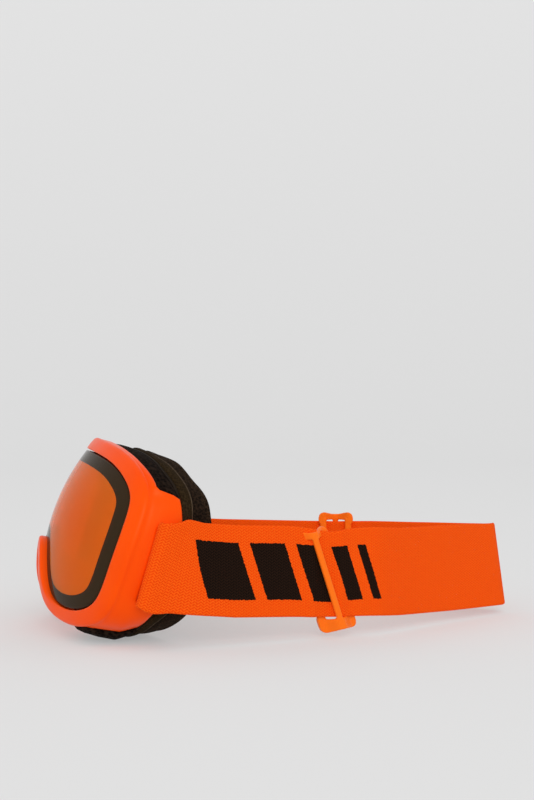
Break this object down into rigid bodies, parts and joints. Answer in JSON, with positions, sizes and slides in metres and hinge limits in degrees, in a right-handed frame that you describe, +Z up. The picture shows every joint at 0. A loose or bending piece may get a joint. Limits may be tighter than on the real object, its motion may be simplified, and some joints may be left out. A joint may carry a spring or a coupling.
{
  "type": "ski goggles",
  "caption": "Over-the-face snow goggles: a moulded frame holding a domed double lens, layered face foam and a wide elastic strap with three-bar sliders.",
  "frame": {"origin": "bottom centre of the whole part as it stands on a table", "axes": "+Z up, +Y from the lens back to the strap's fold, X across the face with the wearer's left at +X"},
  "size_m": [0.1534, 0.2322, 0.091],
  "materials": {
    "frame": "glossy moulded",
    "lens": "clear tinted, hard coated",
    "lens_clear": "clear",
    "spacer": "matt foam gasket",
    "flange": "matt moulded",
    "foam": "open-cell foam",
    "fleece": "brushed fleece",
    "vent_foam": "coarse open-cell foam",
    "webbing": "woven elastic",
    "slider": "glossy moulded"
  },
  "bodies": {
    "head": {"frame_shell": "frame", "lens_outer": "lens", "lens_spacer": "spacer", "lens_inner": "lens_clear", "face_flange": "flange", "foam_base": "foam", "foam_comfort": "foam", "fleece_lining": "fleece", "vent_foam_top_left": "vent_foam", "vent_foam_top_right": "vent_foam", "vent_foam_bottom_left": "vent_foam", "vent_foam_bottom_right": "vent_foam", "strap_loop_left": "webbing", "strap_loop_right": "webbing"},
    "strap": {"strap_webbing": "webbing", "strap_neck_left": "webbing", "strap_neck_right": "webbing", "strap_tail_left": "webbing", "strap_tail_right": "webbing"},
    "slider_left": {"slider_left": "slider"},
    "slider_right": {"slider_right": "slider"}
  },
  "joints": [
    {"name": "strap_lift", "type": "hinge", "parent": "head", "child": "strap", "pos_m": [0, -0.0702, 0.037], "axis": [1, 0, 0], "range_deg": [0, 25], "deforming": ["strap_neck_left", "strap_neck_right", "strap_tail_left", "strap_tail_right"]},
    {"name": "slider_left_slide", "type": "slide", "parent": "strap", "child": "slider_left", "axis": [-0.2196, 0.9719, -0.0854], "range_m": [-0.026, 0.005]},
    {"name": "slider_right_slide", "type": "slide", "parent": "strap", "child": "slider_right", "axis": [0.2127, 0.977, -0.0182], "range_m": [-0.058, 0]}
  ]
}
